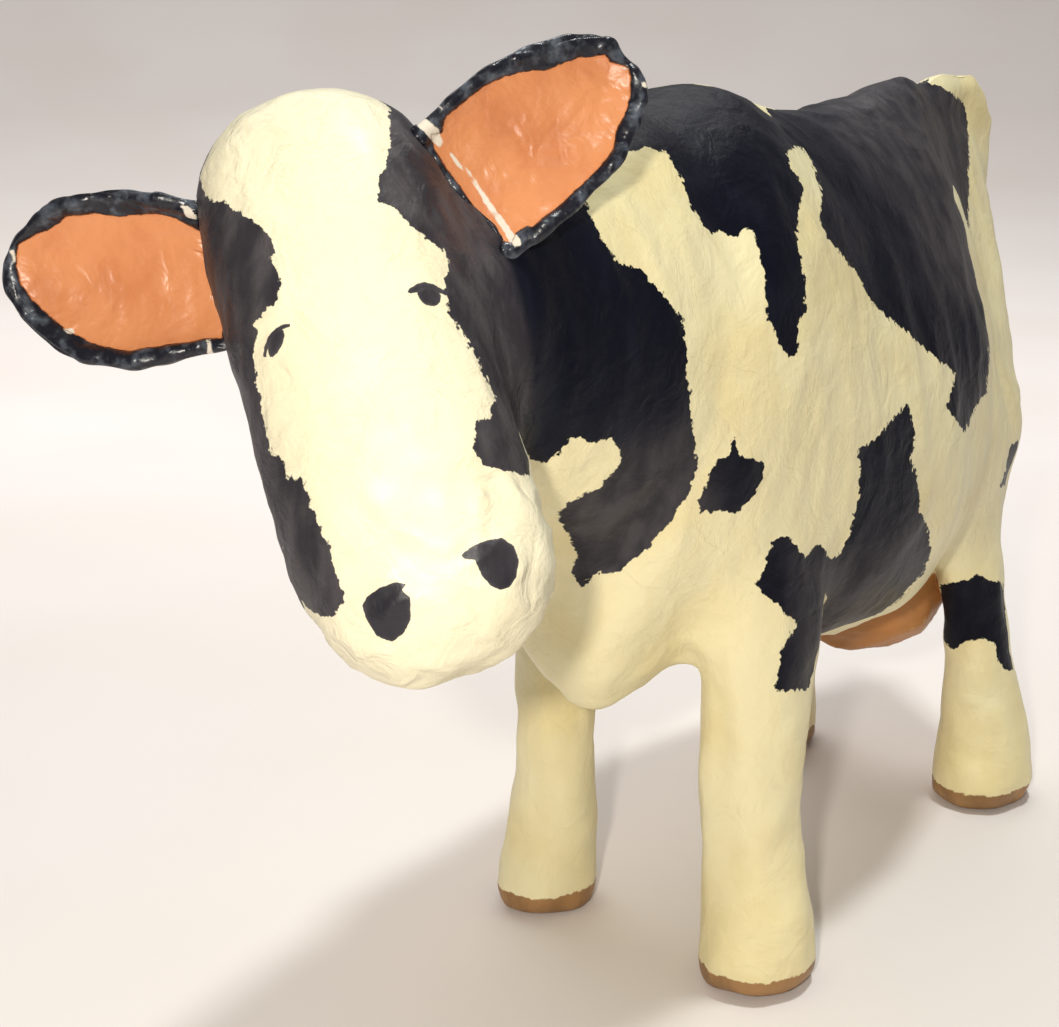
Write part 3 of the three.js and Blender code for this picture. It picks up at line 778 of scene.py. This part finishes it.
class COW_OT_body(bpy.types.Operator):
    """Make the cow's pasted and painted skin"""

    bl_idname = "cow.body"
    bl_label = "Body"

    def execute(self, context):
        settings = context.scene.cow_paint
        piece = copy_of_node("cow_body", "painted_cow")
        smoothed(piece, 2)

        def by_a_mark(middles):
            places, _ = seen_at(middles)
            skull = in_skull(middles)
            on_face = (np.hypot(skull[:, 0], skull[:, 1]) < HEAD_WIDTH * 0.65) & (skull[:, 1] < 0)
            return on_face & (inside_any(places, FACE_MARKS.values(), 1) > -MARK_MARGIN)

        finer_where(piece, by_a_mark, 3)
        mesh = piece.data
        points = places_of(mesh)
        normals = normals_of(mesh)
        points += normals * skin_relief(points, settings)[:, None]
        points[:, 2] = np.maximum(points[:, 2], 0)
        move_to(mesh, points)
        note(mesh, "patch", patch_depth(points, normals))
        note(mesh, "udder", inside_egg(points, UDDER_PLACE, UDDER_SIZE * UDDER_PAINT))
        note(mesh, "hoof", settings.hoof_band - points[:, 2])
        note(mesh, "head", head_share(points))
        marks = mark_depth(points, normals)
        note(mesh, "mark", marks)
        note(mesh, "sheen_and_thin_paint", sheen_and_thin_share(points, marks))
        note(mesh, "crown", ease(in_skull(points)[:, 2], -0.06, -0.01) * head_share(points))
        mesh.materials.append(skin_finish(settings))
        work_on(piece)
        bpy.ops.object.shade_smooth()
        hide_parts("cow_body")
        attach(piece, "root")
        return {"FINISHED"}


class COW_OT_ears(bpy.types.Operator):
    """Make the two ears of painted card"""

    bl_idname = "cow.ears"
    bl_label = "Ears"

    def execute(self, context):
        settings = context.scene.cow_paint
        card = ear_finish(settings)
        for node, lining in EAR_LININGS.items():
            piece = copy_of_node(node, "painted_" + node)
            smoothed(piece, 3)
            mesh = piece.data
            points = places_of(mesh)
            normals = normals_of(mesh)
            places, depth = seen_at(points)
            facing = np.einsum("ij,ij->i", normals, CAMERA_PLACE - points)
            within = np.where(facing > 0, inside(places, lining) * depth / FOCAL, FAR_OUTSIDE)
            bare_and_highlight = inside_any(places, EAR_BARE_AND_HIGHLIGHT[node], depth / FOCAL)
            note(mesh, "lining", within)
            note(mesh, "bare_and_highlight", np.where(facing > 0, bare_and_highlight, FAR_OUTSIDE))
            rim = ease(-within, 0.0, 0.0012)
            note(mesh, "rim", np.where(facing > 0, rim, 0))
            rolled = np.sqrt(np.clip(1 - ((-within - RIM_REACH) / RIM_REACH) ** 2, 0, 1)) * RIM_RISE
            height = wobble(points, 0.008, 7) * (0.0004 + rim * 0.0008)
            height += wobble(points, 0.02, 8) * 0.0008
            height += np.where(facing > 0, rolled, 0)
            move_to(mesh, points + normals * height[:, None])
            mesh.materials.append(card)
            work_on(piece)
            bpy.ops.object.shade_smooth()
            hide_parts(node)
            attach(piece, "root")
        return {"FINISHED"}


class COW_OT_stage(bpy.types.Operator):
    """Set out the pale floor, the lights and the camera"""

    bl_idname = "cow.stage"
    bl_label = "Stage"

    def execute(self, context):
        settings = context.scene.cow_stage
        self.floor(settings)
        right, up, forward = camera_axes()
        across, above, ahead = FLASH_PLACE
        flash = CAMERA_PLACE + across * right + above * up + ahead * forward
        self.light("flash", flash, COW_MIDDLE, 0.035, settings.flash_power, (1, 0.94, 0.84))
        self.light("lamp", LAMP_PLACE, COW_MIDDLE, 0.16, settings.lamp_power, (0.96, 1, 0.98))
        self.light("wash", WASH_PLACE, FAR_WALL, 1.6, settings.wash_power, (1, 0.97, 0.95))

        world = bpy.data.worlds.new("studio")
        world.use_nodes = True
        background = world.node_tree.nodes["Background"]
        background.inputs["Color"].default_value = (*WORLD_COLOUR, 1)
        background.inputs["Strength"].default_value = settings.sky
        context.scene.world = world
        context.scene.view_settings.view_transform = "Standard"
        self.camera(right, up, forward)
        return {"FINISHED"}

    def floor(self, settings):
        """A flat round floor that rises gently to a wall far off on every side."""
        radius = FLOOR_RADIUS
        bpy.ops.object.select_all(action="DESELECT")
        bpy.ops.mesh.primitive_circle_add(vertices=96, radius=radius, fill_type="NGON")
        floor = bpy.context.object
        floor.name = floor.data.name = "floor"
        bpy.ops.object.mode_set(mode="EDIT")
        bpy.ops.mesh.select_mode(type="EDGE")
        bpy.ops.mesh.select_all(action="DESELECT")
        bpy.ops.mesh.select_non_manifold()
        for wider, rise in FLOOR_RINGS:
            bpy.ops.mesh.extrude_edges_move()
            bpy.ops.transform.resize(value=(wider / radius, wider / radius, 1))
            bpy.ops.transform.translate(value=(0, 0, rise))
            radius = wider
        bpy.ops.object.mode_set(mode="OBJECT")
        bpy.ops.object.shade_smooth()
        finish = Finish("pale_floor")
        pale = tuple(settings.floor)
        warm = tuple(c * s for c, s in zip(pale, (0.97, 0.95, 0.93)))
        cloud = finish.grain(0.4, 2.0)
        colour = finish.mixed(cloud.eased(0.3, 0.7), pale, warm)
        finish.set(base_color=colour, roughness=0.9, specular_ior_level=0.1)
        floor.data.materials.append(finish.material)

    def camera(self, right, up, forward):
        """The camera that the outlines of the patches were read from."""
        lens = bpy.data.cameras.new("camera")
        lens.sensor_width = SENSOR
        lens.lens = FOCAL / PICTURE[0] * SENSOR
        camera = bpy.data.objects.new("camera", lens)
        stand = np.eye(4)
        stand[:3, 0], stand[:3, 1], stand[:3, 2], stand[:3, 3] = right, up, -forward, CAMERA_PLACE
        camera.matrix_world = Matrix(stand.tolist())
        bpy.context.collection.objects.link(camera)
        bpy.context.scene.camera = camera

    def light(self, name, place, target, size, power, colour):
        """A square soft light that shines on its target."""
        lamp = bpy.data.lights.new(name, "AREA")
        lamp.size = size
        lamp.energy = power
        lamp.color = colour
        stand = bpy.data.objects.new(name, lamp)
        stand.location = place
        aim = np.array(target) - np.array(place)
        stand.rotation_euler = Matrix(look_along(aim).tolist()).to_euler()
        bpy.context.collection.objects.link(stand)


def look_along(aim):
    """The turn that points -Z along aim."""
    back = -np.array(aim, float) / np.linalg.norm(aim)
    side = np.cross([0, 0, 1], back)
    side /= np.linalg.norm(side)
    return np.stack([side, np.cross(back, side), back], axis=1)


class COW_PT_panel(bpy.types.Panel):
    """Lists the pieces of the cow and their settings"""

    bl_label = "Papier-mache Cow"
    bl_idname = "COW_PT_panel"
    bl_space_type = "VIEW_3D"
    bl_region_type = "UI"
    bl_category = "Cow"

    def draw(self, context):
        layout = self.layout
        for group in (context.scene.cow_paint, context.scene.cow_stage):
            box = layout.box()
            for name in group.__annotations__:
                box.prop(group, name)
        for operator in ("cow.body", "cow.ears", "cow.stage"):
            layout.operator(operator)


CLASSES = (CowPaintSettings, CowStageSettings, COW_OT_body, COW_OT_ears, COW_OT_stage, COW_PT_panel)


def register():
    """Makes the settings, the operators and the panel known."""
    for entry in CLASSES:
        bpy.utils.register_class(entry)
    bpy.types.Scene.cow_paint = bpy.props.PointerProperty(type=CowPaintSettings)
    bpy.types.Scene.cow_stage = bpy.props.PointerProperty(type=CowStageSettings)


def unregister():
    """Takes them away again."""
    del bpy.types.Scene.cow_stage
    del bpy.types.Scene.cow_paint
    for entry in reversed(CLASSES):
        bpy.utils.unregister_class(entry)


def main():
    """Makes the stage and the cow."""
    register()
    bpy.ops.cow.stage()
    bpy.ops.cow.body()
    bpy.ops.cow.ears()


if __name__ == "__main__":
    main()
